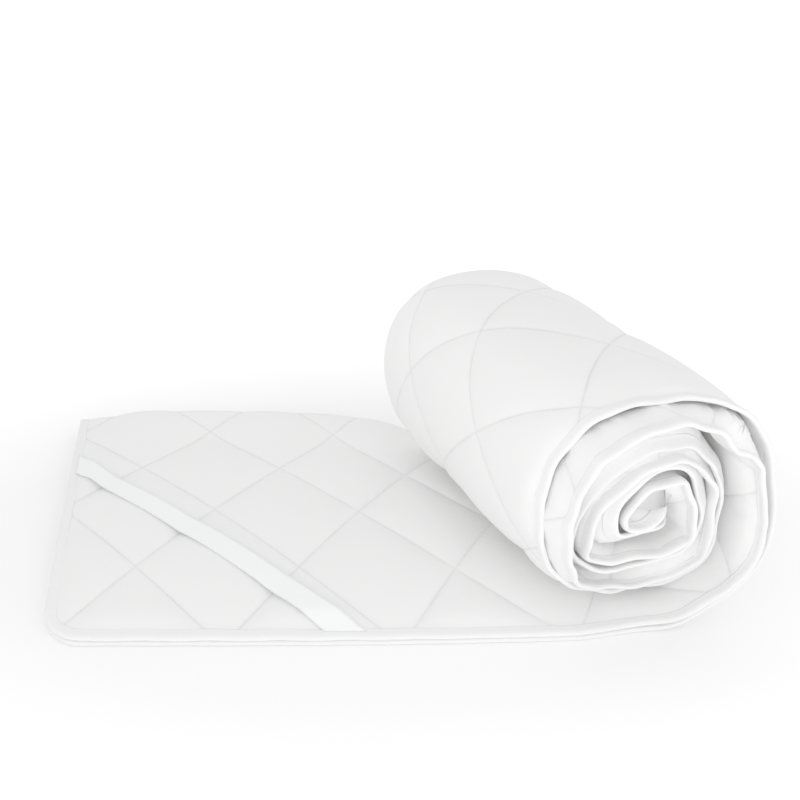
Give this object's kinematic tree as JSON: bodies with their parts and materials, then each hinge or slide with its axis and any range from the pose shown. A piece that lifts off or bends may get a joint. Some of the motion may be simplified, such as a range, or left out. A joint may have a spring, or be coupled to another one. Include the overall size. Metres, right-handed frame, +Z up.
{
  "type": "mattress protector",
  "caption": "White quilted mattress protector, folded lengthwise and half rolled up, with a bound edge and an elastic corner strap; it lies over a mattress to keep it clean.",
  "frame": {"origin": "on the floor, under the middle of the whole piece's bounding box", "axes": "+X along the front edge from the flat tail to the roll, +Y from the open edge towards the fold, +Z up from the floor"},
  "size_m": [0.6744, 0.4576, 0.2397],
  "materials": {
    "quilted_cloth": "brushed microfibre, matt, off-white",
    "binding_tape": "soft matt tape, white",
    "elastic_band": "ribbed woven elastic, faintly cool white"
  },
  "bodies": {
    "root": {"quilted_pad": "quilted_cloth", "edge_binding": "binding_tape", "corner_strap": "elastic_band"}
  },
  "joints": []
}
